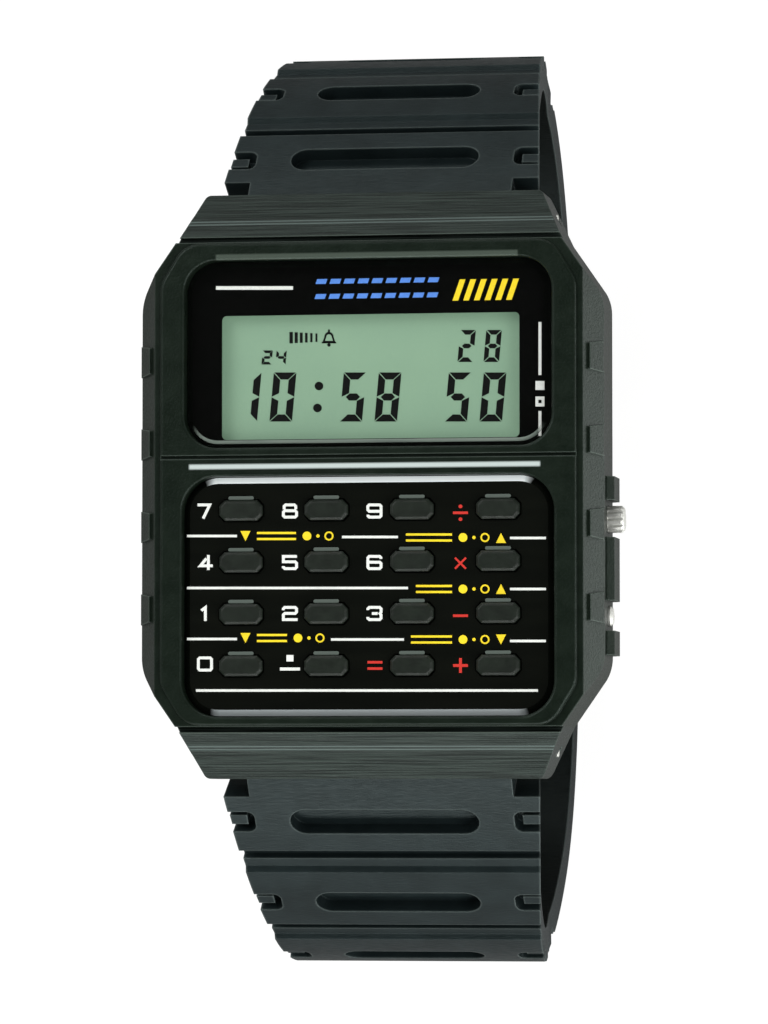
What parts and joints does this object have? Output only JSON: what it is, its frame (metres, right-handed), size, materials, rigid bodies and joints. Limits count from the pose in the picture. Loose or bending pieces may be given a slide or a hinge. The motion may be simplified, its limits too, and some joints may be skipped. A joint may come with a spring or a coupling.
{
  "type": "calculator watch",
  "caption": "Digital calculator wristwatch with a framed display over a key grid, side pushers and a moulded resin strap with buckle.",
  "frame": {"origin": "centre of the case back's flat outer face", "axes": "+X towards 3 o'clock, +Y towards 12 o'clock, +Z out of the display"},
  "size_m": [0.0356, 0.0703, 0.0538],
  "materials": {
    "case_resin": "fine grained black resin",
    "strap_resin": "matte black resin",
    "crystal": "clear polished",
    "mask_print": "black print",
    "lcd_glass": "pale green display",
    "reflector_foil": "satin foil",
    "connector_rubber": "layered rubber",
    "module_plastic": "moulded",
    "keypad_gloss": "glossy black",
    "key_rubber": "dark grey green rubber",
    "board": "green lacquer",
    "epoxy": "black epoxy",
    "bright_steel": "polished steel",
    "brass_part": "satin brass",
    "film": "amber film",
    "seal_rubber": "black rubber",
    "back_steel": "brushed"
  },
  "bodies": {
    "case": {"case_body": "case_resin", "display_crystal": "crystal", "display_mask": "mask_print", "lcd_panel": "lcd_glass", "lcd_reflector": "reflector_foil", "lcd_connectors": "connector_rubber", "lcd_holder": "module_plastic", "keypad_plate": "keypad_gloss", "key_web": "key_rubber", "circuit_board": "board", "chip_cover": "epoxy", "quartz_can": "bright_steel", "trimmer_capacitor": "brass_part", "module_frame": "module_plastic", "battery": "bright_steel", "battery_clip": "bright_steel", "battery_contact": "brass_part", "buzzer_disc": "brass_part", "buzzer_spring": "bright_steel", "insulator_sheet": "film", "module_screws": "bright_steel", "back_gasket": "seal_rubber", "case_back": "back_steel", "case_back_screws": "bright_steel", "spring_bar_tubes": "bright_steel", "spring_bar_springs": "bright_steel", "pusher_springs": "bright_steel"},
    "key_7_button": {"key_7": "key_rubber"},
    "key_8_button": {"key_8": "key_rubber"},
    "key_9_button": {"key_9": "key_rubber"},
    "key_divide_button": {"key_divide": "key_rubber"},
    "key_4_button": {"key_4": "key_rubber"},
    "key_5_button": {"key_5": "key_rubber"},
    "key_6_button": {"key_6": "key_rubber"},
    "key_multiply_button": {"key_multiply": "key_rubber"},
    "key_1_button": {"key_1": "key_rubber"},
    "key_2_button": {"key_2": "key_rubber"},
    "key_3_button": {"key_3": "key_rubber"},
    "key_minus_button": {"key_minus": "key_rubber"},
    "key_0_button": {"key_0": "key_rubber"},
    "key_point_button": {"key_point": "key_rubber"},
    "key_equals_button": {"key_equals": "key_rubber"},
    "key_plus_button": {"key_plus": "key_rubber"},
    "mode_pusher_unit": {"mode_pusher": "bright_steel", "mode_pusher_seal": "seal_rubber", "mode_pusher_clip": "bright_steel"},
    "adjust_pusher_unit": {"adjust_pusher": "bright_steel", "adjust_pusher_seal": "seal_rubber", "adjust_pusher_clip": "bright_steel"},
    "spring_bar_tip_upper_right_unit": {"spring_bar_tip_upper_right": "bright_steel"},
    "spring_bar_tip_upper_left_unit": {"spring_bar_tip_upper_left": "bright_steel"},
    "spring_bar_tip_lower_right_unit": {"spring_bar_tip_lower_right": "bright_steel"},
    "spring_bar_tip_lower_left_unit": {"spring_bar_tip_lower_left": "bright_steel"},
    "upper_strap": {"strap_upper": "strap_resin", "buckle_pin": "bright_steel"},
    "lower_strap": {"strap_lower": "strap_resin"},
    "keeper": {"strap_keeper": "strap_resin"},
    "buckle": {"buckle_frame": "back_steel"},
    "tongue": {"buckle_tongue": "back_steel"}
  },
  "joints": [
    {"name": "key_7_press", "type": "slide", "parent": "case", "child": "key_7_button", "axis": [0, 0, -1], "range_m": [0, 0.0004], "stiffness_N_per_m": 100, "springref_m": -0.0005},
    {"name": "key_8_press", "type": "slide", "parent": "case", "child": "key_8_button", "axis": [0, 0, -1], "range_m": [0, 0.0004], "stiffness_N_per_m": 100, "springref_m": -0.0005},
    {"name": "key_9_press", "type": "slide", "parent": "case", "child": "key_9_button", "axis": [0, 0, -1], "range_m": [0, 0.0004], "stiffness_N_per_m": 100, "springref_m": -0.0005},
    {"name": "key_divide_press", "type": "slide", "parent": "case", "child": "key_divide_button", "axis": [0, 0, -1], "range_m": [0, 0.0004], "stiffness_N_per_m": 100, "springref_m": -0.0005},
    {"name": "key_4_press", "type": "slide", "parent": "case", "child": "key_4_button", "axis": [0, 0, -1], "range_m": [0, 0.0004], "stiffness_N_per_m": 100, "springref_m": -0.0005},
    {"name": "key_5_press", "type": "slide", "parent": "case", "child": "key_5_button", "axis": [0, 0, -1], "range_m": [0, 0.0004], "stiffness_N_per_m": 100, "springref_m": -0.0005},
    {"name": "key_6_press", "type": "slide", "parent": "case", "child": "key_6_button", "axis": [0, 0, -1], "range_m": [0, 0.0004], "stiffness_N_per_m": 100, "springref_m": -0.0005},
    {"name": "key_multiply_press", "type": "slide", "parent": "case", "child": "key_multiply_button", "axis": [0, 0, -1], "range_m": [0, 0.0004], "stiffness_N_per_m": 100, "springref_m": -0.0005},
    {"name": "key_1_press", "type": "slide", "parent": "case", "child": "key_1_button", "axis": [0, 0, -1], "range_m": [0, 0.0004], "stiffness_N_per_m": 100, "springref_m": -0.0005},
    {"name": "key_2_press", "type": "slide", "parent": "case", "child": "key_2_button", "axis": [0, 0, -1], "range_m": [0, 0.0004], "stiffness_N_per_m": 100, "springref_m": -0.0005},
    {"name": "key_3_press", "type": "slide", "parent": "case", "child": "key_3_button", "axis": [0, 0, -1], "range_m": [0, 0.0004], "stiffness_N_per_m": 100, "springref_m": -0.0005},
    {"name": "key_minus_press", "type": "slide", "parent": "case", "child": "key_minus_button", "axis": [0, 0, -1], "range_m": [0, 0.0004], "stiffness_N_per_m": 100, "springref_m": -0.0005},
    {"name": "key_0_press", "type": "slide", "parent": "case", "child": "key_0_button", "axis": [0, 0, -1], "range_m": [0, 0.0004], "stiffness_N_per_m": 100, "springref_m": -0.0005},
    {"name": "key_point_press", "type": "slide", "parent": "case", "child": "key_point_button", "axis": [0, 0, -1], "range_m": [0, 0.0004], "stiffness_N_per_m": 100, "springref_m": -0.0005},
    {"name": "key_equals_press", "type": "slide", "parent": "case", "child": "key_equals_button", "axis": [0, 0, -1], "range_m": [0, 0.0004], "stiffness_N_per_m": 100, "springref_m": -0.0005},
    {"name": "key_plus_press", "type": "slide", "parent": "case", "child": "key_plus_button", "axis": [0, 0, -1], "range_m": [0, 0.0004], "stiffness_N_per_m": 100, "springref_m": -0.0005},
    {"name": "mode_pusher_press", "type": "slide", "parent": "case", "child": "mode_pusher_unit", "axis": [-1, 0, 0], "range_m": [0, 0.0005], "stiffness_N_per_m": 200, "springref_m": -0.0005},
    {"name": "adjust_pusher_press", "type": "slide", "parent": "case", "child": "adjust_pusher_unit", "axis": [-1, 0, 0], "range_m": [0, 0.00035], "stiffness_N_per_m": 200, "springref_m": -0.0005, "deforming": ["pusher_springs"]},
    {"name": "spring_bar_tip_upper_right_slide", "type": "slide", "parent": "case", "child": "spring_bar_tip_upper_right_unit", "axis": [-1, 0, 0], "range_m": [0, 0.0011], "stiffness_N_per_m": 150, "springref_m": -0.001},
    {"name": "spring_bar_tip_upper_left_slide", "type": "slide", "parent": "case", "child": "spring_bar_tip_upper_left_unit", "axis": [1, 0, 0], "range_m": [0, 0.0011], "stiffness_N_per_m": 150, "springref_m": -0.001},
    {"name": "spring_bar_tip_lower_right_slide", "type": "slide", "parent": "case", "child": "spring_bar_tip_lower_right_unit", "axis": [-1, 0, 0], "range_m": [0, 0.0011], "stiffness_N_per_m": 150, "springref_m": -0.001},
    {"name": "spring_bar_tip_lower_left_slide", "type": "slide", "parent": "case", "child": "spring_bar_tip_lower_left_unit", "axis": [1, 0, 0], "range_m": [0, 0.0011], "stiffness_N_per_m": 150, "springref_m": -0.001, "deforming": ["spring_bar_springs"]},
    {"name": "upper_strap_swing", "type": "hinge", "parent": "case", "child": "upper_strap", "pos_m": [0, 0.0196, 0.0026], "axis": [1, 0, 0], "range_deg": [0, 30]},
    {"name": "lower_strap_swing", "type": "hinge", "parent": "case", "child": "lower_strap", "pos_m": [0, -0.0196, 0.0026], "axis": [-1, 0, 0], "range_deg": [0, 30]},
    {"name": "keeper_slide", "type": "hinge", "parent": "upper_strap", "child": "keeper", "pos_m": [0, 0.00883, -0.01387], "axis": [1, 0, 0], "range_deg": [-4.8, 21.5]},
    {"name": "buckle_swing", "type": "hinge", "parent": "upper_strap", "child": "buckle", "pos_m": [0, 0.00748, -0.04102], "axis": [1, 0, 0], "range_deg": [-35, 35]},
    {"name": "tongue_swing", "type": "hinge", "parent": "buckle", "child": "tongue", "pos_m": [0, 0.00748, -0.04102], "axis": [1, 0, 0], "range_deg": [0, 100]}
  ]
}
